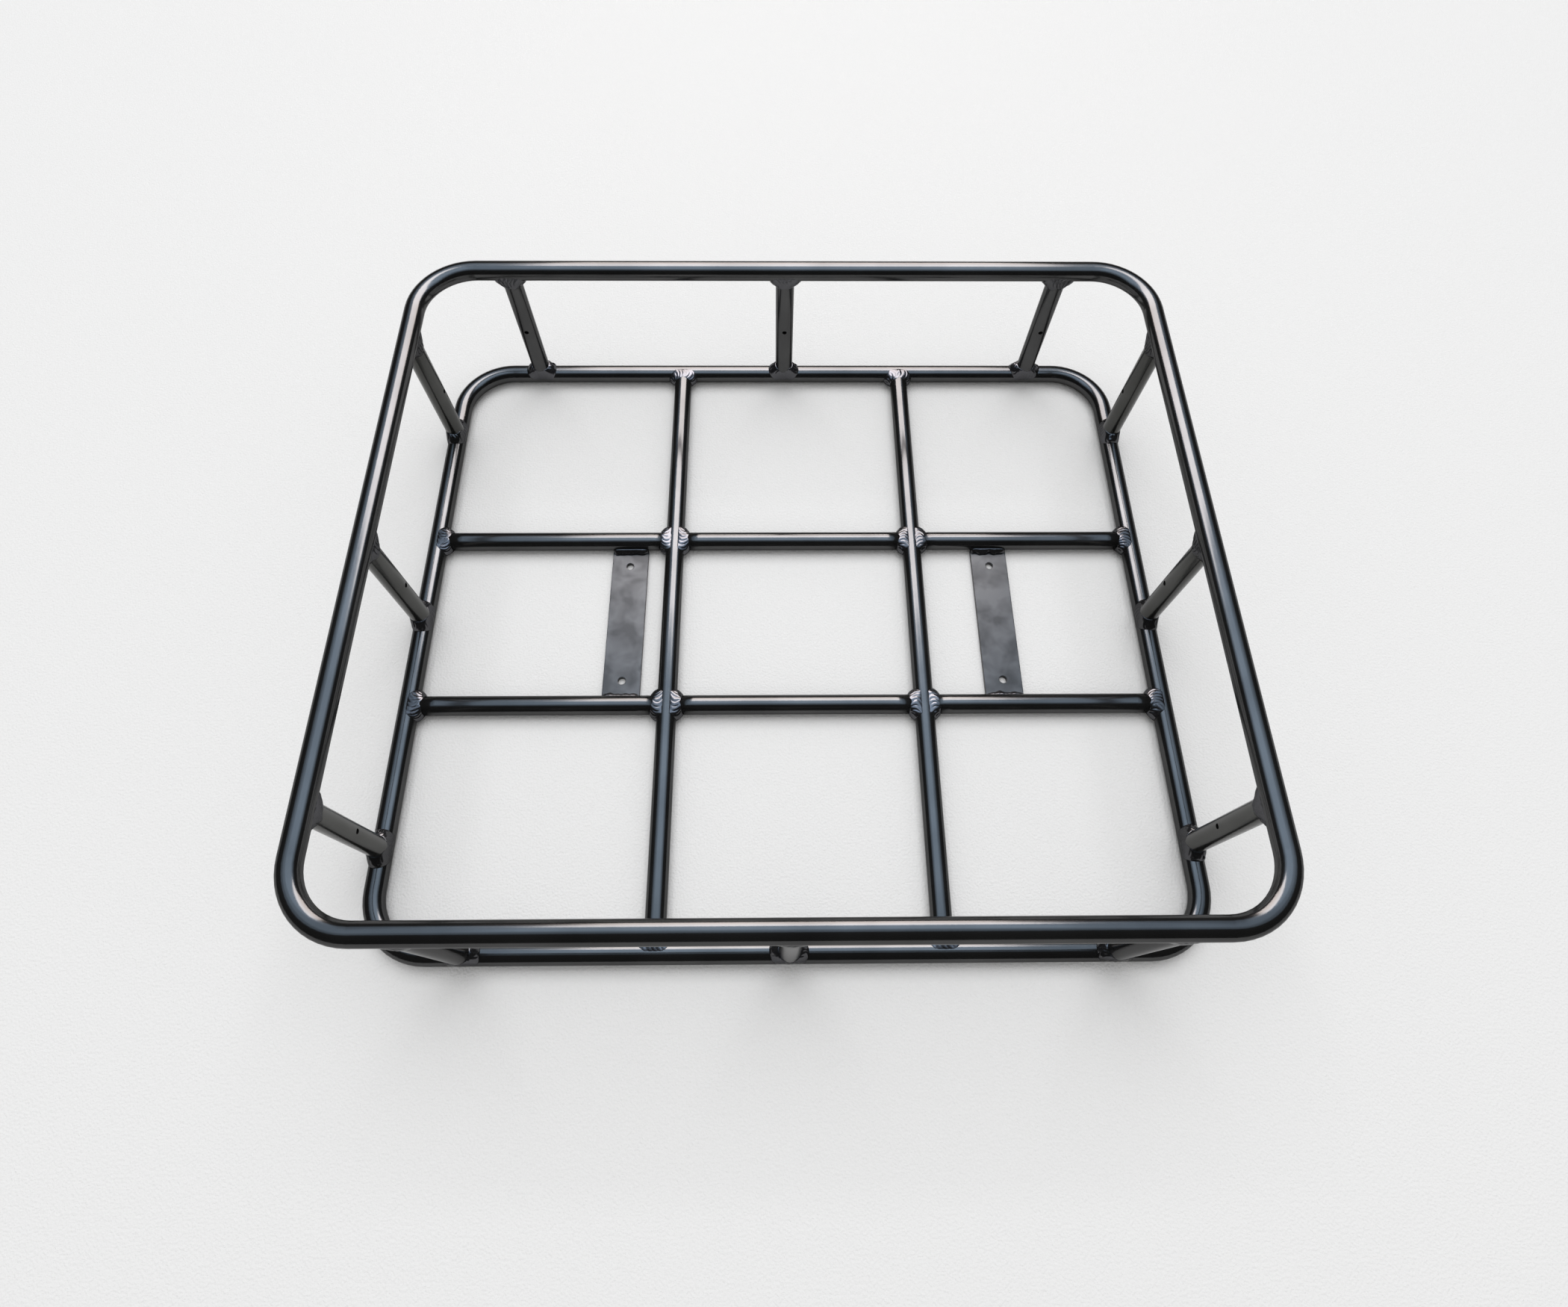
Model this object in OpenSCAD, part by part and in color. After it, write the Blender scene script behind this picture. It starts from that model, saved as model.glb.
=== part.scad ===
// Welded tubular cargo basket: two bent tube rails joined by posts, with a
// grid floor and two drilled mounting plates. The rack is one rigid weldment.
// The origin is at floor level under the middle of the basket, +X runs along
// the wide side, +Y towards the back and +Z up.

/* [Basket] */
// Width over the rails, left to right
overall_width = 630; // [480:1:800]
// Depth over the rails, front to back
overall_depth = 550; // [420:1:700]
// Height from the floor to the top of the top rail
overall_height = 146; // [110:1:240]

/* [Tube] */
// Outside diameter of every tube
tube_od = 16; // [12:0.5:20]
// Wall thickness of every tube
tube_wall = 1.5; // [1:0.1:3]
// Radius of the rail bends, to the middle of the tube
bend_radius = 45; // [32:1:70]
// Gap between a notched tube end and the tube it is welded to
cope_gap = 0.05; // [0.02:0.01:0.2]

/* [Posts] */
// Distance from the start of a bend to the outer post on the front and back
end_post_inset = 27; // [20:1:60]
// Distance from the start of a bend to the outer post on the two sides
side_post_inset = 30; // [20:1:60]
// Height of the vent holes above the middle of the bottom rail
vent_height = 65; // [30:1:80]
// Diameter of the vent hole in each post
vent_diameter = 4; // [2:0.5:6]

/* [Grid floor] */
// Distance from the middle to the left long bar
long_bar_left = 98; // [60:1:130]
// Distance from the middle to the right long bar
long_bar_right = 112; // [60:1:130]
// Distance between the two rows of cross bars, middle to middle
cross_bar_spacing = 154; // [130:1:220]

/* [Mounting plates] */
// Width of a plate
plate_width = 31; // [20:1:36]
// Thickness of a plate
plate_thickness = 4; // [2:0.5:6]
// Gap between the left plate and the left long bar
left_plate_gap = 15.5; // [8:0.5:60]
// Gap between the right plate and the right long bar
right_plate_gap = 45; // [8:0.5:60]
// Distance between the two holes of a plate, middle to middle
hole_spacing = 108; // [60:1:108]
// Diameter of the holes, a clear fit for an M6 screw
hole_diameter = 6.5; // [4:0.1:9]

/* [Weld beads] */
// How far a bead reaches along each of the tubes it joins
bead_leg = 5; // [3:0.1:6]
// Thickness of a bead where the tubes meet square
bead_throat = 3.6; // [2.4:0.1:5]
// Thickness of a bead at the flanks of the notch
flank_throat = 1.2; // [0.6:0.1:2]
// Corners round each bead
bead_steps = 20; // [12:4:32]
// How far from straight down the floor's beads stop, in degrees
bare_turn = 48; // [46:1:60]
// How far the bead at a plate's end reaches over the plate
plate_bead_size = 5; // [3:0.5:8]

/* [Hidden] */
$fn = 96;
tube_r = tube_od / 2;
bore_r = tube_r - tube_wall;
cope_r = tube_r + cope_gap;
// The rails' centre lines, kept to whole hundredths of a millimetre so that
// straight runs and bends meet exactly
rail_x = round(100 * (overall_width / 2 - tube_r)) / 100;
rail_y = round(100 * (overall_depth / 2 - tube_r)) / 100;
low_z = tube_r;
high_z = overall_height - tube_r;
// The outer posts' places along the rails
end_post_x = rail_x - bend_radius - end_post_inset;
side_post_y = rail_y - bend_radius - side_post_inset;
// The grid floor's centre lines
cross_y = cross_bar_spacing / 2;
left_x = -long_bar_left;
right_x = long_bar_right;
// The plates lie level with the underside of the tubes, and their square
// ends just touch the round of the cross bars
plate_end_y = cross_y - sqrt(pow(tube_r, 2) - pow(tube_r - plate_thickness, 2));
left_plate_x = left_x - tube_r - left_plate_gap - plate_width / 2;
right_plate_x = right_x + tube_r + right_plate_gap + plate_width / 2;
// A cut reaches this far past the faces it goes through
past = 1;
// The lower toes stop just short of a quarter turn round the run
groove_turn = 88;
coating = [0.075, 0.08, 0.09];
plate_coating = [0.16, 0.16, 0.19];
weld_coating = [0.11, 0.115, 0.125];

// ---- Tubes ----

// The wall of a tube, seen end on
module tube_section() {
    difference() {
        circle(r = tube_r);
        circle(r = bore_r);
    }
}

// A hollow tube that runs up from the origin
module tube(length) {
    linear_extrude(height = length) tube_section();
}

// A solid rod the size of a notching cutter, centred on the origin along X
module cope_cutter() {
    rotate([0, 90, 0]) cylinder(r = cope_r, h = 4 * tube_od, center = true);
}

// A tube between two tubes that cross it, from axis to axis up the Z axis,
// with both ends notched to sit on the round of its neighbours. The
// neighbours run along X.
module notched_tube(length) {
    difference() {
        tube(length);
        cope_cutter();
        translate([0, 0, length]) cope_cutter();
    }
}

// A quarter bend that starts on the X axis and ends on the Y axis
module bend() {
    rotate_extrude(angle = 90) translate([bend_radius, 0]) tube_section();
}

// A closed rail: four straight runs and four bends, at the origin's height
module rail() {
    straight_x = rail_x - bend_radius;
    straight_y = rail_y - bend_radius;
    for (side = [-1, 1]) {
        translate([-straight_x, side * rail_y, 0]) rotate([0, 90, 0]) tube(2 * straight_x);
        translate([side * rail_x, straight_y, 0]) rotate([90, 0, 0]) tube(2 * straight_y);
    }
    translate([straight_x, straight_y, 0]) bend();
    translate([-straight_x, straight_y, 0]) rotate([0, 0, 90]) bend();
    translate([-straight_x, -straight_y, 0]) rotate([0, 0, 180]) bend();
    translate([straight_x, -straight_y, 0]) rotate([0, 0, 270]) bend();
}

module top_rail() {
    color(coating) translate([0, 0, high_z]) rail();
}

module bottom_rail() {
    color(coating) translate([0, 0, low_z]) rail();
}

// ---- Posts ----

// Puts a post's own frame at a place on the rails: its X axis runs along the
// rail and its -Y axis points into the basket
module at_post(place) {
    translate([place[0], place[1], 0]) rotate([0, 0, place[2]]) children();
}

// Each place is x, y and the turn that makes -Y point into the basket
back_places = [for (x = [-end_post_x, 0, end_post_x]) [x, rail_y, 0]];
front_places = [for (x = [-end_post_x, 0, end_post_x]) [x, -rail_y, 180]];
left_places = [for (y = [side_post_y, 0, -side_post_y]) [-rail_x, y, 90]];
right_places = [for (y = [side_post_y, 0, -side_post_y]) [rail_x, y, 270]];
post_places = concat(back_places, front_places, left_places, right_places);

// One post, with the vent that lets hot gas out while its ends are welded
module post(place) {
    color(coating) at_post(place) difference() {
        translate([0, 0, low_z]) notched_tube(high_z - low_z);
        translate([0, 0, low_z + vent_height])
            rotate([90, 0, 0]) cylinder(d = vent_diameter, h = tube_od);
    }
}

// ---- Grid floor ----

// A long bar runs in one piece from the front of the bottom rail to the back
module long_bar(x) {
    color(coating) translate([x, rail_y, low_z]) rotate([90, 0, 0]) notched_tube(2 * rail_y);
}

// A cross bar fills the space between two tubes that run front to back
module cross_bar(from_x, to_x, y) {
    color(coating) translate([from_x, y, low_z]) rotate([0, 90, 0]) rotate([0, 0, 90])
        notched_tube(to_x - from_x);
}

// ---- Mounting plates ----

// A flat bar between the cross bars, drilled near each end
module mounting_plate(x) {
    color(plate_coating) translate([x, 0, 0]) difference() {
        translate([-plate_width / 2, -plate_end_y, 0])
            cube([plate_width, 2 * plate_end_y, plate_thickness]);
        for (side = [-1, 1])
            translate([0, side * hole_spacing / 2, -past])
                cylinder(d = hole_diameter, h = plate_thickness + 2 * past);
    }
}

// ---- Weld beads ----

// A bead is a band swept round the notch of a branch tube. The branch goes up
// the Z axis from the origin and stands on a run tube along X. At each angle
// the band has four corners: its toe on the branch, its crown, its toe on the
// run and its root at the edge of the notch.

// How far round the run tube the notch lies at an angle round the branch
function notch_turn(angle) = asin(sin(angle));

// The root: a point on the notched edge of the branch
function bead_root(angle) = [
    tube_r * cos(angle),
    tube_r * sin(angle),
    sqrt(pow(cope_r, 2) - pow(tube_r * sin(angle), 2))
];

// The upper toe lies up the branch
function bead_upper_toe(angle) = bead_root(angle) + [0, 0, bead_leg];

// The lower toe lies on the run, the same way out from the branch's middle
// when the run's skin is laid flat. It stays on its own half of the run, so
// that beads on opposite sides of a tube leave a groove between them.
function bead_lower_toe(angle) =
    let (
        flat = [tube_r * cos(angle), tube_r * notch_turn(angle) * PI / 180],
        out = flat * (1 + bead_leg / norm(flat)),
        turn = max(-groove_turn, min(groove_turn, out[1] / tube_r * 180 / PI))
    )
    [out[0], tube_r * sin(turn), tube_r * cos(turn)];

// The crown stands out between the two tubes, full where they meet square
// and thin at the flanks where their skins run into each other
function bead_crown(angle) =
    let (
        turn = notch_turn(angle),
        away = [cos(angle), sin(angle) + sin(turn), cos(turn)],
        throat = flank_throat + (bead_throat - flank_throat) * abs(cos(angle))
    )
    bead_root(angle) + away / norm(away) * throat;

// The four corners of the band at one angle
function bead_corners(angle) =
    [bead_upper_toe(angle), bead_crown(angle), bead_lower_toe(angle), bead_root(angle)];

// A solid band through four-cornered stations, closed to a ring or capped
module swept_band(stations, ring) {
    count = len(stations);
    spans = ring ? count : count - 1;
    sides = [for (i = [0 : spans - 1], k = [0 : 3])
        let (here = 4 * i, next = 4 * ((i + 1) % count), side = (k + 1) % 4)
        each [[here + k, here + side, next + side], [here + k, next + side, next + k]]];
    last = 4 * count - 4;
    caps = ring ? [] : [
        [3, 2, 1], [3, 1, 0],
        [last, last + 1, last + 3], [last + 1, last + 2, last + 3]
    ];
    polyhedron(points = [for (station = stations) each station], faces = concat(sides, caps));
}

// The whole bead at a post's end
module post_bead() {
    swept_band([for (i = [0 : bead_steps - 1]) bead_corners(360 * i / bead_steps)], true);
}

// A bead in the grid floor leaves the underside bare, so that the basket
// sits flat. The branch points along -Y before it is turned about Z.
module floor_bead(place, turn) {
    turns = 360 - 2 * bare_turn;
    translate([place[0], place[1], low_z]) rotate([90, 0, turn]) swept_band(
        [for (i = [0 : bead_steps]) bead_corners(bare_turn - 90 + turns * i / bead_steps)], false);
}

module post_top_welds() {
    color(weld_coating) for (place = post_places)
        at_post(place) translate([0, 0, high_z]) mirror([0, 0, 1]) post_bead();
}

module post_foot_welds() {
    color(weld_coating) for (place = post_places)
        at_post(place) translate([0, 0, low_z]) post_bead();
}

module long_bar_welds() {
    color(weld_coating) for (x = [left_x, right_x]) {
        floor_bead([x, rail_y], 0);
        floor_bead([x, -rail_y], 180);
    }
}

// Every cross bar has a bead at each end, against a tube that runs along Y
module cross_bar_welds() {
    color(weld_coating) for (y = [-cross_y, cross_y]) {
        for (x = [-rail_x, left_x, right_x]) floor_bead([x, y], 90);
        for (x = [left_x, right_x, rail_x]) floor_bead([x, y], 270);
    }
}

// The bead over a plate's end fills the corner between plate and cross bar
module plate_bead() {
    rotate([90, 0, 90]) linear_extrude(height = plate_width, center = true) difference() {
        translate([plate_end_y, plate_thickness]) circle(r = plate_bead_size);
        translate([cross_y, low_z]) circle(r = tube_r);
        translate([0, plate_thickness - 2 * plate_bead_size])
            square([cross_y + tube_od, 2 * plate_bead_size]);
        translate([cross_y, 0]) square([tube_od, tube_od]);
    }
}

module mounting_plate_welds() {
    color(weld_coating) for (x = [left_plate_x, right_plate_x], turn = [0, 180])
        translate([x, 0, 0]) rotate([0, 0, turn]) plate_bead();
}

top_rail();
bottom_rail();
post(back_places[0]);  // post_back_left
post(back_places[1]);  // post_back_middle
post(back_places[2]);  // post_back_right
post(front_places[0]);  // post_front_left
post(front_places[1]);  // post_front_middle
post(front_places[2]);  // post_front_right
post(left_places[0]);  // post_left_back
post(left_places[1]);  // post_left_middle
post(left_places[2]);  // post_left_front
post(right_places[0]);  // post_right_back
post(right_places[1]);  // post_right_middle
post(right_places[2]);  // post_right_front
long_bar(left_x);  // long_bar_left_tube
long_bar(right_x);  // long_bar_right_tube
cross_bar(-rail_x, left_x, cross_y);  // cross_bar_back_left
cross_bar(left_x, right_x, cross_y);  // cross_bar_back_middle
cross_bar(right_x, rail_x, cross_y);  // cross_bar_back_right
cross_bar(-rail_x, left_x, -cross_y);  // cross_bar_front_left
cross_bar(left_x, right_x, -cross_y);  // cross_bar_front_middle
cross_bar(right_x, rail_x, -cross_y);  // cross_bar_front_right
mounting_plate(left_plate_x);  // mounting_plate_left
mounting_plate(right_plate_x);  // mounting_plate_right
post_top_welds();
post_foot_welds();
long_bar_welds();
cross_bar_welds();
mounting_plate_welds();
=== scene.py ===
# %% [markdown]
# # A welded tube luggage rack
#
# The rack is a cargo basket made of round aluminium tube. Two closed tube
# rails are joined by twelve posts, a grid of bars makes the floor, and two
# drilled flat bars take the screws that hold it to a carrier. Every joint is
# welded by hand, and the whole thing is then anodised black.
#
# The tubes and plates exist as exact CAD bodies. This lesson loads them,
# gives each a finish, models the rippled weld beads as surfaces worked out
# with numpy, and sets up a plain studio round them.

# %% Load the frame
import math

import bpy
import numpy as np
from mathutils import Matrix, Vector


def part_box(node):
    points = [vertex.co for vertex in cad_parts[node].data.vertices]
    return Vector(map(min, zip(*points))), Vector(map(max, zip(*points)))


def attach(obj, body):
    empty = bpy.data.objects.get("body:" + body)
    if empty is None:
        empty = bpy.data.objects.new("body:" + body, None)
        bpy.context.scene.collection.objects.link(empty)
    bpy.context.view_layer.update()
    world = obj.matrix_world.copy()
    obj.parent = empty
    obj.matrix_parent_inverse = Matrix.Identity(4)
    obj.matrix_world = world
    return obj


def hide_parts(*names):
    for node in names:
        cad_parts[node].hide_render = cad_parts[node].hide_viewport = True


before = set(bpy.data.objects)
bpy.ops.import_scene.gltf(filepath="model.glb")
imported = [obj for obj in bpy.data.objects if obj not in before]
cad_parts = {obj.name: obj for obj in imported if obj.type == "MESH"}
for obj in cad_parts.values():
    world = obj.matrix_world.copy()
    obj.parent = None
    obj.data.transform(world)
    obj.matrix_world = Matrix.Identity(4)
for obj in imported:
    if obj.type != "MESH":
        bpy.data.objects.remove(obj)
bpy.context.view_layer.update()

# %% [markdown]
# ## Measurements
#
# Every place comes from the CAD nodes themselves, in metres. The box round a
# node gives its lowest and highest corners, so a post's middle line or the
# radius of a tube can be read off without repeating the numbers of the
# design. Only the wall of the tubes and the gap between a notched end and the
# tube beside it can't be read from a box.

# %% Read the main measurements from the nodes
def node_box(name):
    """The lowest and highest corners of a CAD node, as two arrays."""
    low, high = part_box(name)
    return np.array(low), np.array(high)


def node_middle(name):
    """The middle of a node's box."""
    low, high = node_box(name)
    return (low + high) / 2


bar_low, bar_high = node_box("long_bar_left_tube")
TUBE_R = (bar_high[0] - bar_low[0]) / 2
rail_high = node_box("bottom_rail")[1]
RAIL_X = rail_high[0] - TUBE_R
RAIL_Y = rail_high[1] - TUBE_R
LOW_Z = (bar_low[2] + bar_high[2]) / 2
HIGH_Z = node_middle("top_rail")[2]
LEFT_X = node_middle("long_bar_left_tube")[0]
RIGHT_X = node_middle("long_bar_right_tube")[0]
CROSS_Y = node_middle("cross_bar_back_middle")[1]
WALL = 0.0015
COPE_GAP = 0.00005
print("tube radius", round(TUBE_R, 4), "rails at", round(RAIL_X, 4), round(RAIL_Y, 4))

# %% [markdown]
# ## The camera
#
# A viewer stands in front of the basket and looks steeply down into it. The
# wide lens makes the near rail much longer than the far one. The camera comes
# first, because everything else is judged through it.

# %% Place the camera
CAMERA_PLACE = (-0.0114, -0.3292, 0.7017)
CAMERA_TURN = (25.827, -0.541, -0.449)

camera_data = bpy.data.cameras.new("camera")
camera_data.lens = 20.65
camera_data.sensor_width = 36.0
camera_data.shift_x = 0.0003
camera_data.shift_y = -0.0261
camera_data.clip_start = 0.01
camera = bpy.data.objects.new("camera", camera_data)
camera.location = CAMERA_PLACE
camera.rotation_euler = [math.radians(angle) for angle in CAMERA_TURN]
bpy.context.collection.objects.link(camera)
bpy.context.scene.camera = camera
print("camera at", CAMERA_PLACE, "lens", camera_data.lens, "mm")

# %% [markdown]
# ## Light
#
# The real tubes show a crisp warm band along their tops, a dimmer blue band
# beside it and then black. Each band is the mirror picture of something in
# the room: a tilted warm softbox above and behind the basket, a wide cool
# ceiling, and darkness in front. The floor is lit by the whole room instead,
# so it stays even. Ray visibility keeps the two jobs apart: the softbox and
# the ceiling show only in gloss, and the room and one large lamp light only
# matt things. The ceiling is three sheets, each smaller and a little lower
# than the last, so that its picture swells softly towards the middle.

# %% Build the studio lights
def area_light(name, place, aim, size, power, colour, gloss):
    """A rectangular light at a place that faces a point, for gloss or for matt surfaces."""
    data = bpy.data.lights.new(name, "AREA")
    data.shape = "RECTANGLE"
    data.size, data.size_y = size
    data.energy = power
    data.color = colour
    light = bpy.data.objects.new(name, data)
    light.location = place
    away = np.array(place) - np.array(aim)
    yaw = math.atan2(away[1], away[0]) + math.pi / 2
    light.rotation_euler = (math.atan2(math.hypot(away[0], away[1]), away[2]), 0, yaw)
    light.visible_camera = False
    light.visible_glossy = gloss
    light.visible_diffuse = not gloss
    bpy.context.collection.objects.link(light)


area_light("softbox", (0.03, 0.90, 0.70), (0.03, 0.50, -0.26), (0.86, 1.04), 26.0, (1.0, 0.90, 0.86), True)

# A sheet that hangs level is aimed a hair in front of straight down, which
# gives it a definite heading and keeps its long side along x.
HAIR = 0.0001
CEILING = {"ceiling": ((0.0, 0.45, 1.05), (2.2, 1.8), 13.0, (0.61, 0.79, 1.0)),
           "ceiling_middle": ((0.0, 0.42, 1.04), (1.5, 1.3), 5.5, (0.62, 0.79, 1.0)),
           "ceiling_heart": ((0.0, 0.36, 1.03), (0.9, 0.9), 3.0, (0.63, 0.80, 1.0))}
for name, (place, size, power, colour) in CEILING.items():
    area_light(name, place, (0.0, place[1] - HAIR, 0.0), size, power, colour, True)

area_light("lamp", (0.0, 3.3, 8.4), (0.0, 0.0, 0.0), (8.4, 8.4), 548.0, (0.985, 0.992, 1.0), False)

world = bpy.data.worlds.new("room")
bpy.context.scene.world = world
world.use_nodes = True
background = world.node_tree.nodes["Background"]
background.inputs["Color"].default_value = (1.0, 0.993, 0.985, 1)
background.inputs["Strength"].default_value = 0.565
world.cycles_visibility.glossy = False
bpy.context.scene.view_settings.view_transform = "Standard"
print("lights ready")

# %% [markdown]
# ## A small kit for materials
#
# Each finish is a graph of shader nodes. One helper adds a node with its
# settings and links, and one function turns the hex colours people write
# down into the linear values that a renderer adds up.

# %% Define the material helpers
def linear(hex_colour):
    """sRGB hex to linear RGBA: ((c + 0.055) / 1.055) ** 2.4 above the toe."""
    values = [int(hex_colour[i:i + 2], 16) / 255 for i in (1, 3, 5)]
    return [v / 12.92 if v <= 0.04045 else ((v + 0.055) / 1.055) ** 2.4 for v in values] + [1.0]


def add(tree, kind, settings=None, sockets=None):
    """Adds a shader node. Sockets maps an input's name or number to a link or a value."""
    node = tree.nodes.new(kind)
    for key, value in (settings or {}).items():
        setattr(node, key, value)
    for key, value in (sockets or {}).items():
        if isinstance(value, bpy.types.NodeSocket):
            tree.links.new(value, node.inputs[key])
        else:
            node.inputs[key].default_value = value
    return node


def new_material(name):
    """An empty material with a Principled shader joined to its output."""
    material = bpy.data.materials.new(name)
    material.use_nodes = True
    return material, material.node_tree, material.node_tree.nodes["Principled BSDF"]


print("helpers ready")

# %% [markdown]
# ## Black anodised tube
#
# The tube is drawn aluminium, blasted, anodised and dyed black. The dyed
# skin sends back about six parts in a hundred of the light. Its glancing
# reflection is held below white, which paints shade on the edges of a tube
# in place of the dark surroundings that they mirror.
# The eye sees clear satin bands with slightly soft edges and, close up, a
# faint cloudiness and a very fine grain. The side posts are lit from behind
# and seen at a glancing angle. They get a lighter copy of the finish, a
# little rougher and with its glancing shine kept near white: a painted sheen
# that stands in for that light.

# %% Make the tube's finish
def anodised(name, dark, light, rough_low, rough_high, grain_bump, edge):
    """Satin black anodised aluminium: cloudy reflectance, soft gloss and a fine blasted grain.

    Dark and light are the two ends of the cloudiness, and edge tints the glancing reflection: below white
    it paints shade on the edges, near white it paints a sheen.
    """
    material, tree, shader = new_material(name)
    place = add(tree, "ShaderNodeTexCoord").outputs["Object"]
    clouds = add(tree, "ShaderNodeTexNoise", None, {"Vector": place, "Scale": 24.0, "Detail": 3.0})
    grain = add(tree, "ShaderNodeTexNoise", None, {"Vector": place, "Scale": 2400.0, "Detail": 2.0})
    tint = add(tree, "ShaderNodeValToRGB", None, {"Fac": clouds.outputs["Fac"]})
    tint.color_ramp.elements[0].position = 0.36
    tint.color_ramp.elements[0].color = linear(dark)
    tint.color_ramp.elements[1].position = 0.66
    tint.color_ramp.elements[1].color = linear(light)
    gloss = add(tree, "ShaderNodeMapRange", None,
                {"Value": clouds.outputs["Fac"], "To Min": rough_low, "To Max": rough_high})
    bump = add(tree, "ShaderNodeBump", None,
               {"Height": grain.outputs["Fac"], "Strength": grain_bump, "Distance": 0.0002})
    tree.links.new(tint.outputs["Color"], shader.inputs["Base Color"])
    tree.links.new(gloss.outputs["Result"], shader.inputs["Roughness"])
    tree.links.new(bump.outputs["Normal"], shader.inputs["Normal"])
    shader.inputs["Metallic"].default_value = 0.88
    shader.inputs["Specular IOR Level"].default_value = 0.2
    # Below white, the edge tint paints shade on the glancing edges; near white it paints a sheen.
    shader.inputs["Specular Tint"].default_value = linear(edge)
    return material


# The tube's edge tint, below white, paints shade on its glancing edges.
tube_finish = anodised("black_anodised_tube", "#484848", "#505050", 0.14, 0.19, 0.05, "#c4c4c4")
# The side posts' copy is rougher, with a near-white edge tint that paints a sheen on them.
post_painted_sheen_finish = anodised("black_anodised_post", "#464644", "#4e4e4c", 0.18, 0.24, 0.05, "#f4f4f4")
print("made", tube_finish.name, "and", post_painted_sheen_finish.name)

# %% [markdown]
# ## Weld metal
#
# A weld bead is cast metal: smoother and shinier than the blasted tube, with
# a slightly different dye colour. Its ripples are real shape, so the finish
# only needs a soft waviness.

# %% Make the weld's finish
# The weld's edge tint, below white, paints shade on the bead's glancing edges.
weld_finish = anodised("black_anodised_weld", "#4b4b4c", "#59595c", 0.13, 0.22, 0.08, "#b0b0b0")
print("made", weld_finish.name)

# %% [markdown]
# ## Plate
#
# The two flat bars took the dye unevenly. Wide faces show cloudy grey
# patches where the surface was handled before anodising. A bevel
# worked out in the shader rounds the sawn edges and the rims of the holes,
# so they catch a thin line of light.

# %% Make the plate's finish
def stained_plate():
    """Grey anodised flat bar with cloudy stains and rounded edges."""
    material, tree, shader = new_material("stained_anodised_plate")
    place = add(tree, "ShaderNodeTexCoord").outputs["Object"]
    blots = add(tree, "ShaderNodeTexNoise", None,
                {"Vector": place, "Scale": 58.0, "Detail": 2.0, "Distortion": 0.35})
    tint = add(tree, "ShaderNodeValToRGB", None, {"Fac": blots.outputs["Fac"]})
    tint.color_ramp.elements[0].position = 0.34
    tint.color_ramp.elements[0].color = linear("#333333")
    tint.color_ramp.elements[1].position = 0.62
    tint.color_ramp.elements[1].color = linear("#434343")
    bevel = add(tree, "ShaderNodeBevel", {"samples": 6}, {"Radius": 0.0007})
    grain = add(tree, "ShaderNodeTexNoise", None, {"Vector": place, "Scale": 1600.0, "Detail": 2.0})
    bump = add(tree, "ShaderNodeBump", None,
               {"Height": grain.outputs["Fac"], "Strength": 0.10, "Distance": 0.0002,
                "Normal": bevel.outputs["Normal"]})
    tree.links.new(tint.outputs["Color"], shader.inputs["Base Color"])
    tree.links.new(bump.outputs["Normal"], shader.inputs["Normal"])
    shader.inputs["Metallic"].default_value = 1.0
    shader.inputs["Roughness"].default_value = 0.38
    return material


plate_finish = stained_plate()
print("made", plate_finish.name)

# %% [markdown]
# ## Give the CAD bodies their finish
#
# A CAD body keeps its shape and only takes a material: one for the plates,
# one for the posts on the two sides, a lighter copy that paints a sheen on
# them, and one for every other tube.

# %% Dress the CAD nodes
PLATES = ("mounting_plate_left", "mounting_plate_right")
SIDE_POSTS = ("post_left", "post_right")
for name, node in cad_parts.items():
    finish = post_painted_sheen_finish if name.startswith(SIDE_POSTS) else tube_finish
    finish = plate_finish if name in PLATES else finish
    node.data.materials.clear()
    node.data.materials.append(finish)
print("dressed", len(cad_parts), "nodes")

# %% [markdown]
# ## From a grid of points to a mesh
#
# Every new surface is a grid: one direction runs round or along the piece,
# the other across it. Neighbouring points make four-sided faces. A direction
# may close on itself like a ring.

# %% Define the grid helpers
def grid_faces(rows, columns, ring):
    """Faces of a grid whose columns always close; its rows close too when ring is true."""
    row = np.arange(rows if ring else rows - 1)[:, None]
    column = np.arange(columns)[None, :]
    after, beside = (row + 1) % rows, (column + 1) % columns
    corners = (row * columns + column, row * columns + beside,
               after * columns + beside, after * columns + column)
    return np.stack(np.broadcast_arrays(*corners), axis=-1).reshape(-1, 4)


def build_piece(name, points, faces, finish, nodes):
    """One smooth mesh from arrays, standing in for CAD nodes and riding on the rack."""
    mesh = bpy.data.meshes.new(name)
    mesh.from_pydata(np.round(points, 7).tolist(), [], faces.tolist())
    mesh.polygons.foreach_set("use_smooth", np.ones(len(faces), bool))
    mesh.materials.append(finish)
    mesh.update()
    piece = bpy.data.objects.new(name, mesh)
    bpy.context.collection.objects.link(piece)
    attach(piece, "root")
    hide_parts(*nodes)
    print(name, len(points), "points", len(faces), "faces")


def turned(points, axis, degrees):
    """Points turned round a coordinate axis: 0 is x, 1 is y and 2 is z."""
    c, s = math.cos(math.radians(degrees)), math.sin(math.radians(degrees))
    matrix = np.eye(3)
    i, j = [(1, 2), (2, 0), (0, 1)][axis]
    matrix[i, i], matrix[i, j], matrix[j, i], matrix[j, j] = c, -s, s, c
    return points @ matrix.T


print("grid helpers ready")

# %% [markdown]
# ## Cross bars with cut-back ends
#
# A cross bar is sawn to a saddle that sits on the round of the long bar. The
# thin upper tips of the saddle are filed back, so that the top of the long
# bar stays clear and its band of light runs on unbroken past each crossing.
# The wall of the tube is one closed strip, swept round the tube's axis. TIP
# is the least distance from an upper tip to the middle of the long bar.

# %% Build the cross bars
TIP = 0.0056
BAR_TURNS = 96
BAR_STEPS = 12


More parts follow.
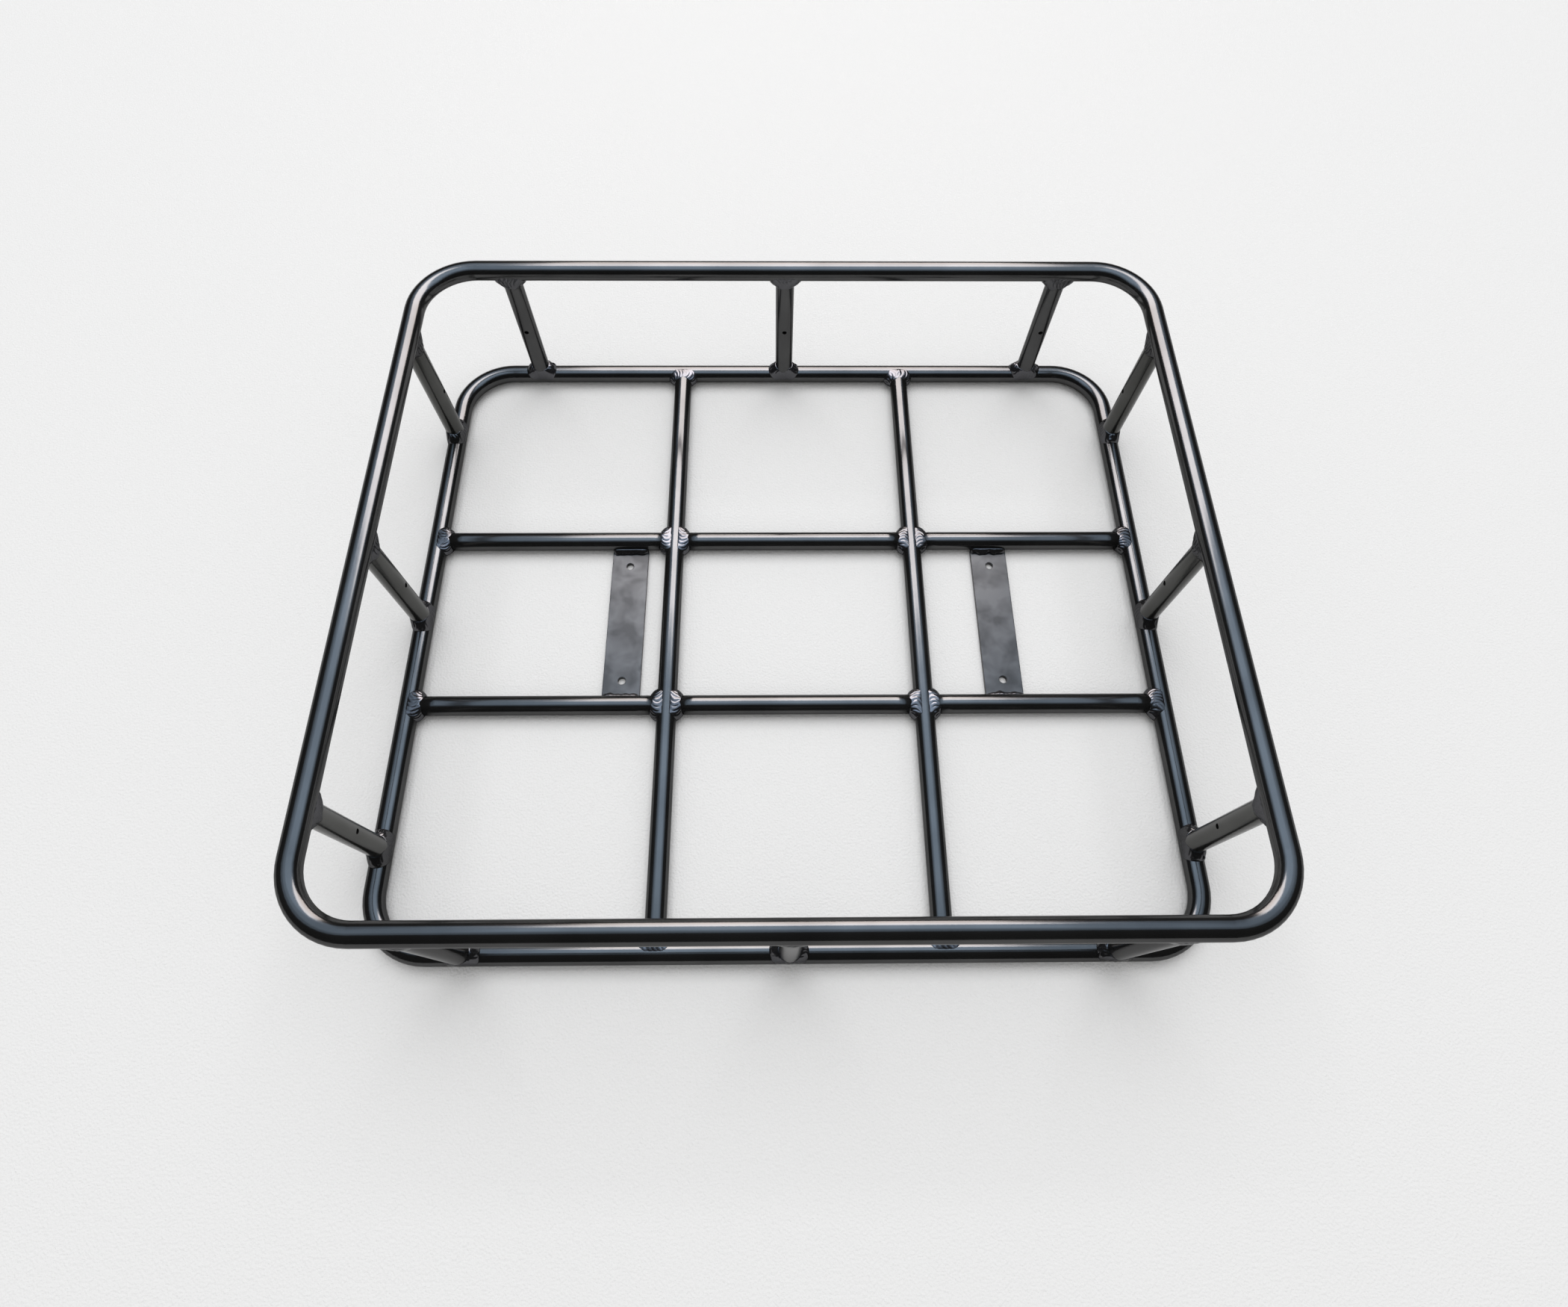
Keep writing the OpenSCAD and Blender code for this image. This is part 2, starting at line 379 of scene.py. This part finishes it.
def half_chord(turn, radius):
    """How far a tube's end stays from the run's axis.

    It is the root of the run's radius squared less the sideways distance squared, with the gap
    of the notch added to the run's radius.
    """
    return np.sqrt(np.maximum((TUBE_R + COPE_GAP) ** 2 - (radius * np.sin(turn)) ** 2, 0))


def saddle_reach(turn, radius):
    """The saddle's half chord, with the upper half kept off the top of the run."""
    reach = half_chord(turn, radius)
    return np.where(np.sin(turn) > 0, np.maximum(reach, TIP), reach)


def cross_bar(x0, x1, y):
    """Outer skin from end to end and inner skin back, at many angles round the x axis."""
    turn = np.linspace(0, 2 * np.pi, BAR_TURNS, endpoint=False)
    share = np.linspace(0, 1, BAR_STEPS)
    skins = []
    for radius, along in ((TUBE_R, share), (TUBE_R - WALL, share[::-1])):
        start = x0 + saddle_reach(turn, radius)
        end = x1 - saddle_reach(turn, radius)
        x = start[:, None] + (end - start)[:, None] * along
        side = np.broadcast_to((radius * np.cos(turn))[:, None], x.shape)
        up = np.broadcast_to((radius * np.sin(turn))[:, None], x.shape)
        skins.append(np.stack([x, y + side, LOW_Z + up], axis=-1))
    grid = np.concatenate(skins, axis=1)
    return grid.reshape(-1, 3), grid_faces(BAR_TURNS, grid.shape[1], True)[:, ::-1]


SPANS = {"left": (-RAIL_X, LEFT_X), "middle": (LEFT_X, RIGHT_X), "right": (RIGHT_X, RAIL_X)}
for row_name, row_y in (("back", CROSS_Y), ("front", -CROSS_Y)):
    for span_name, (x0, x1) in SPANS.items():
        node = f"cross_bar_{row_name}_{span_name}"
        points, faces = cross_bar(x0, x1, row_y)
        build_piece("swept_" + node, points, faces, tube_finish, [node])

# %% [markdown]
# ## A weld bead round a saddle
#
# The welder moves the torch round the saddle in small steps. Each pause lays
# a round puddle over the last, which leaves the stack of thin crescents. The
# bead is a grid of two numbers: the angle round the branch tube, and the
# share of the way across the bead from its toe on the branch to its toe on
# the run. The branch stands up the z axis and the run lies along x.
#
# Height over the straight line between the toes is a crown: a parabola that is
# 1 in the middle and 0 at both toes, raised to a power that fills out its
# shoulders. The ripples add a scallop whose phase is the distance travelled,
# bent into an arc by the same parabola.
#
# LEG is the reach along each tube and POST_LEG the same at a post. FLANK_GAIN
# is the extra share of a leg at the flanks, where the gap is long and shallow.
# BULGE is the height of the crown and RIPPLE that of the scallop. PITCH is one
# step of the torch and ARC how far the crescents bow, in steps. SINK is how
# far the toes dip into the tubes, so that no gap shows, and ROOT how far the
# hidden underside does. ACROSS is the number of points from toe to toe, and a
# bead narrower than FULL_WIDTH is lower in proportion. The LUMP and CRATER
# values shape the mark of the torch's last pause.

# %% Define the bead
LEG = 0.0054
POST_LEG = 0.0063
FLANK_GAIN = 0.95
BULGE = 0.00075
RIPPLE = 0.00045
PITCH = 0.0034
ARC = 0.9
SINK = 0.0002
ROOT = 0.0008
ACROSS = 15
FULL_WIDTH = 0.007
FULL_TURN = math.radians(88)

LUMP_SHARE = 0.72
LUMP_RADIUS = 0.0019
LUMP_HEIGHT = 0.0011
CRATER_DEPTH = 0.0006
CRATER_FOCUS = 5


def wander(turn, random, size, waves=5):
    """A smooth closed wobble: a sum of a few waves with random sizes and starts."""
    order = np.arange(1, waves + 1)
    height = random.normal(0, 1, waves) / order ** 0.5
    start = random.uniform(0, 2 * np.pi, waves)
    return size * (height * np.sin(order * turn[..., None] + start)).sum(-1) / 1.5


def crown(share, power=1.0):
    """A parabola that is 1 in the middle and 0 at both ends, raised to a power."""
    return (1 - (2 * share - 1) ** 2) ** power


def scallop(phase):
    """One round hump for every step: the size of a sine, raised to a power, less a level."""
    return np.abs(np.sin(np.pi * phase)) ** 0.6 - 0.75


def bead_toes(turn, random, leg, top_limit):
    """The bead's edge on the branch and its edge on the run.

    The first runs a leg above the notch, and nearly twice that at the flanks. The second is
    found on the run's skin rolled out flat: the notch's outline pushed outwards by a leg.
    """
    a = turn[:, None]
    skin = TUBE_R - SINK
    reach = leg * (1 + FLANK_GAIN * np.abs(np.sin(a)) ** 3) * (1 + wander(turn, random, 0.07)[:, None])
    upper = np.concatenate([skin * np.cos(a), skin * np.sin(a), half_chord(a, TUBE_R) + reach], 1)
    flat = np.concatenate([TUBE_R * np.cos(a), TUBE_R * np.arcsin(np.sin(a))], 1)
    spread = leg * (1 + wander(turn, random, 0.10)[:, None])
    out = flat * (1 + spread / np.linalg.norm(flat, axis=1, keepdims=True))
    toe = np.clip(out[:, 1:] / TUBE_R, -FULL_TURN, top_limit)
    lower = np.concatenate([out[:, :1], skin * np.sin(toe), skin * np.cos(toe)], 1)
    return upper, lower


def stop_lump(along, across):
    """A round lump with a crater where the torch stopped: a bell curve less a narrower bell curve."""
    far = (along ** 2 + across ** 2) / LUMP_RADIUS ** 2
    return LUMP_HEIGHT * np.exp(-far) - CRATER_DEPTH * np.exp(-CRATER_FOCUS * far)


def bead(turn, seed, top_limit, lean, leg=LEG, stop=None):
    """Grid of bead points for angles round the branch, closed across with a hidden root.

    Lean is 1 or -1, the way the crescents bow. Stop is the angle of the torch's last pause, if
    it shows. Narrow stretches of the bead are lower, in the share of their width to a full one.
    """
    random = np.random.default_rng(seed)
    a = turn[:, None]
    t = np.linspace(0, 1, ACROSS)[None, :]
    upper, lower = bead_toes(turn, random, leg, top_limit)
    run_turn = np.arcsin(np.sin(a))
    away = np.concatenate([np.cos(a), np.sin(a) + np.sin(run_turn), np.cos(run_turn)], 1)
    away /= np.linalg.norm(away, axis=1, keepdims=True)
    step = np.linalg.norm(np.diff((upper + lower) / 2, axis=0), axis=1)
    travel = np.concatenate([[0], np.cumsum(step)])[:, None]
    phase = travel / PITCH + wander(turn, random, 0.25)[:, None] + lean * ARC * crown(t)
    width = np.linalg.norm(upper - lower, axis=1)[:, None]
    fullness = np.minimum(width / FULL_WIDTH, 1)
    height = crown(t, 0.8) * fullness * (BULGE + RIPPLE * scallop(phase))
    if stop is not None:
        along = np.angle(np.exp(1j * (a - stop))) * (TUBE_R + leg)
        height = height + stop_lump(along, (t - LUMP_SHARE) * width)
    chord = upper[:, None] * (1 - t[..., None]) + lower[:, None] * t[..., None]
    face = chord + height[..., None] * away[:, None]
    deep = TUBE_R - ROOT
    root = np.concatenate([deep * np.cos(a), deep * np.sin(a), half_chord(a, TUBE_R) - ROOT / 2], 1)
    return np.concatenate([face, root[:, None]], axis=1)


print("bead ready, pitch", PITCH * 1000, "mm")

# %% [markdown]
# ## Place the beads at the posts
#
# A post stands on one rail and carries the other, so it has a bead round
# each end. The upper one is a lower one turned over. The last pause of the
# torch shows only at the feet, at a slightly different place on each post.

# %% Build the beads of the posts
def gather(parts):
    """Joins lists of points and faces into one pair of arrays."""
    counts = np.cumsum([0] + [len(points) for points, _ in parts])
    points = np.concatenate([points for points, _ in parts])
    return points, np.concatenate([faces + start for (_, faces), start in zip(parts, counts)])


POSTS = [name for name in sorted(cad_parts) if name.startswith("post_") and not name.endswith("welds")]
INWARD = {"back": 0, "front": 180, "left": 90, "right": 270}
ROUND = np.linspace(0, 2 * np.pi, 176, endpoint=False)

for node, level, over, first_seed in (("post_foot_welds", LOW_Z, False, 20),
                                      ("post_top_welds", HIGH_Z, True, 70)):
    parts = []
    for number, post in enumerate(POSTS):
        lean = 1 if number % 2 else -1
        stop = None if over else math.radians(24 - 9 * (number % 5))
        grid = bead(ROUND, first_seed + number, FULL_TURN, lean, POST_LEG, stop)
        grid = turned(grid, 0, 180) if over else grid
        grid = turned(grid, 2, INWARD[post.split("_")[1]])
        place = np.array([*node_middle(post)[:2], level])
        parts.append(((grid + place).reshape(-1, 3), grid_faces(len(ROUND), grid.shape[1], True)))
    points, faces = gather(parts)
    build_piece("rippled_" + node, points, faces, weld_finish, [node])

# %% [markdown]
# ## Place the beads of the grid floor
#
# In the floor the torch stops short of the underside, so the rack sits flat
# on the surface below. These beads are open bands whose two ends close to a
# point, BARE degrees from straight down. Beads against a long bar stay off its
# top. One long bar's bead shows the ring of the torch's last pause, on top.

# %% Build the beads of the floor
BARE = 48
CLEAR_TURN = math.radians(70)
TOP = math.radians(90)


def tapered(grid):
    """Closes a bead's two ends by drawing them in to the middle of their own section."""
    grid = grid.copy()
    for end, beside in ((0, 1), (-1, -2)):
        grid[end] = grid[beside].mean(axis=0)
    return grid


def floor_bead(x, y, direction, seed, top_limit, lean, stop=None):
    """A bead against a floor tube, its branch along -y before it is turned about z."""
    sweep = np.radians(np.linspace(BARE - 90, 270 - BARE, 150))
    grid = tapered(bead(sweep, seed, top_limit, lean, stop=stop))
    grid = turned(turned(grid, 0, 90), 2, direction) + np.array([x, y, LOW_Z])
    return grid.reshape(-1, 3), grid_faces(len(sweep), grid.shape[1], False)


parts = []
for number, x in enumerate((LEFT_X, RIGHT_X)):
    for side, direction in ((1, 0), (-1, 180)):
        stop = TOP if number == 1 and side == 1 else None
        parts.append(floor_bead(x, side * RAIL_Y, direction, 200 + 7 * number + side, FULL_TURN, 1, stop))
points, faces = gather(parts)
build_piece("rippled_long_bar_welds", points, faces, weld_finish, ["long_bar_welds"])

BRANCHES = ((-RAIL_X, 90), (LEFT_X, 90), (RIGHT_X, 90), (LEFT_X, 270), (RIGHT_X, 270), (RAIL_X, 270))
parts = []
for row, y in enumerate((CROSS_Y, -CROSS_Y)):
    for number, (x, direction) in enumerate(BRANCHES):
        limit = FULL_TURN if abs(x) == RAIL_X else CLEAR_TURN
        lean = 1 if (direction == 90) == (x > 0) else -1
        parts.append(floor_bead(x, y, direction, 300 + 10 * row + number, limit, lean))
points, faces = gather(parts)
build_piece("rippled_cross_bar_welds", points, faces, weld_finish, ["cross_bar_welds"])

# %% [markdown]
# ## Beads over the ends of the plates
#
# Each plate butts against the round of a cross bar. One straight bead fills
# the corner above the joint, and its edge on the plate wavers. Its height is
# a half ellipse with a faint scallop. On the bar the toe climbs from TOE_FALL
# below the bar's middle at the two ends of the bead by TOE_LIFT, both angles.
# The bead at the front end of a plate is one made for the back end, turned
# half round.

# %% Build the beads of the plates
PLATE_REACH = 0.0046
PLATE_WAVER = 0.0006
PLATE_BULGE = 0.0010
PLATE_RIPPLE = 0.00018
PLATE_ROOT = 0.0006
TOE_FALL = math.radians(30)
TOE_LIFT = 0.62
LEAN_OUT = np.array([0, -0.75, 0.66])


def plate_bead(name, side, seed):
    """A straight bead along x: from a wavering toe on the plate up to a toe on the bar."""
    low, high = node_box(name)
    random = np.random.default_rng(seed)
    share = np.linspace(0, 1, 91)
    x = low[0] + (high[0] - low[0]) * share
    taper = (1 - np.abs(2 * share - 1) ** 10) ** 0.5
    reach = (PLATE_REACH + wander(share * 2 * np.pi, random, PLATE_WAVER)) * taper
    on_plate = np.stack([x, high[1] - reach, np.full_like(x, high[2] - SINK)], 1)
    fall = TOE_FALL - TOE_LIFT * taper
    skin = TUBE_R - SINK
    on_bar = np.stack([x, CROSS_Y - skin * np.cos(fall), LOW_Z - skin * np.sin(fall)], 1)
    t = np.linspace(0, 1, 11)[None, :]
    phase = (x / PITCH)[:, None] + ARC * crown(t) + wander(share * 2 * np.pi, random, 0.2)[:, None]
    height = crown(t, 0.5) * (PLATE_BULGE + PLATE_RIPPLE * scallop(phase)) * taper[:, None]
    chord = on_plate[:, None] * (1 - t[..., None]) + on_bar[:, None] * t[..., None]
    face = chord + height[..., None] * LEAN_OUT
    root = np.stack([x, np.full_like(x, high[1] + ROOT / 2), np.full_like(x, high[2] - PLATE_ROOT)], 1)
    grid = tapered(np.concatenate([face, root[:, None]], axis=1))
    faces = grid_faces(len(x), grid.shape[1], False)
    if side < 0:
        grid = grid * [-1, -1, 1] + [low[0] + high[0], 0, 0]
    return grid.reshape(-1, 3), faces


parts = [plate_bead(f"mounting_plate_{hand}", side, 400 + i + side)
         for i, hand in enumerate(("left", "right")) for side in (1, -1)]
points, faces = gather(parts)
build_piece("rippled_mounting_plate_welds", points, faces, weld_finish, ["mounting_plate_welds"])

# %% [markdown]
# ## The floor
#
# A wide sheet of pale card with a fine tooth. It isn't part of the rack.

# %% Build the floor
def card():
    """Matt pale card with a fine pressed tooth."""
    material, tree, shader = new_material("pale_card")
    place = add(tree, "ShaderNodeTexCoord").outputs["Object"]
    tooth = add(tree, "ShaderNodeTexNoise", None, {"Vector": place, "Scale": 560.0, "Detail": 2.0})
    bump = add(tree, "ShaderNodeBump", None,
               {"Height": tooth.outputs["Fac"], "Strength": 0.9, "Distance": 0.0008})
    tree.links.new(bump.outputs["Normal"], shader.inputs["Normal"])
    shader.inputs["Base Color"].default_value = linear("#ebebeb")
    shader.inputs["Roughness"].default_value = 0.85
    shader.inputs["Specular IOR Level"].default_value = 0.1
    return material


FLOOR_HALF = 8.0
corners = [(FLOOR_HALF * i, FLOOR_HALF * j, 0) for i, j in ((-1, -1), (1, -1), (1, 1), (-1, 1))]
floor_mesh = bpy.data.meshes.new("floor")
floor_mesh.from_pydata(corners, [], [(0, 1, 2, 3)])
floor_mesh.materials.append(card())
floor = bpy.data.objects.new("floor", floor_mesh)
bpy.context.collection.objects.link(floor)
print("floor", FLOOR_HALF * 2, "m across")

# %% [markdown]
# ## The backdrop
#
# A tall pale screen stands round the edge of the floor, so that a low view
# ends in paper and not in empty space. Only the camera sees it: it neither
# lights the rack nor shows in its black finish.

# %% Build the backdrop
def screen():
    """Evenly lit pale paper: a surface that glows a little less than white, with broad soft clouds."""
    material, tree, shader = new_material("pale_backdrop")
    place = add(tree, "ShaderNodeTexCoord").outputs["Object"]
    shade = add(tree, "ShaderNodeTexNoise", None, {"Vector": place, "Scale": 0.4, "Detail": 1.0})
    tone = add(tree, "ShaderNodeValToRGB", None, {"Fac": shade.outputs["Fac"]})
    tone.color_ramp.elements[0].color = linear("#e6e6e5")
    tone.color_ramp.elements[1].color = linear("#ededec")
    tree.links.new(tone.outputs["Color"], shader.inputs["Emission Color"])
    shader.inputs["Emission Strength"].default_value = 1.0
    shader.inputs["Base Color"].default_value = linear("#000000")
    shader.inputs["Roughness"].default_value = 1.0
    shader.inputs["Specular IOR Level"].default_value = 0.0
    return material


SCREEN_RADIUS = 7.9
SCREEN_HEIGHT = 6.0
SCREEN_TURNS = 96
turn = np.linspace(0, 2 * np.pi, SCREEN_TURNS, endpoint=False)
ring = np.stack([SCREEN_RADIUS * np.cos(turn), SCREEN_RADIUS * np.sin(turn)], 1)
points = np.stack([np.insert(ring, 2, level, axis=1) for level in (0.0, SCREEN_HEIGHT)], axis=1)
foot = np.arange(SCREEN_TURNS) * 2
next_foot = (foot + 2) % (2 * SCREEN_TURNS)
faces = np.stack([foot, foot + 1, next_foot + 1, next_foot], axis=1)
screen_mesh = bpy.data.meshes.new("backdrop")
screen_mesh.from_pydata(points.reshape(-1, 3).tolist(), [], faces.tolist())
screen_mesh.materials.append(screen())
backdrop = bpy.data.objects.new("backdrop", screen_mesh)
bpy.context.collection.objects.link(backdrop)
backdrop.visible_diffuse = False
backdrop.visible_glossy = False
backdrop.visible_transmission = False
backdrop.visible_shadow = False
print("backdrop", SCREEN_HEIGHT, "m tall")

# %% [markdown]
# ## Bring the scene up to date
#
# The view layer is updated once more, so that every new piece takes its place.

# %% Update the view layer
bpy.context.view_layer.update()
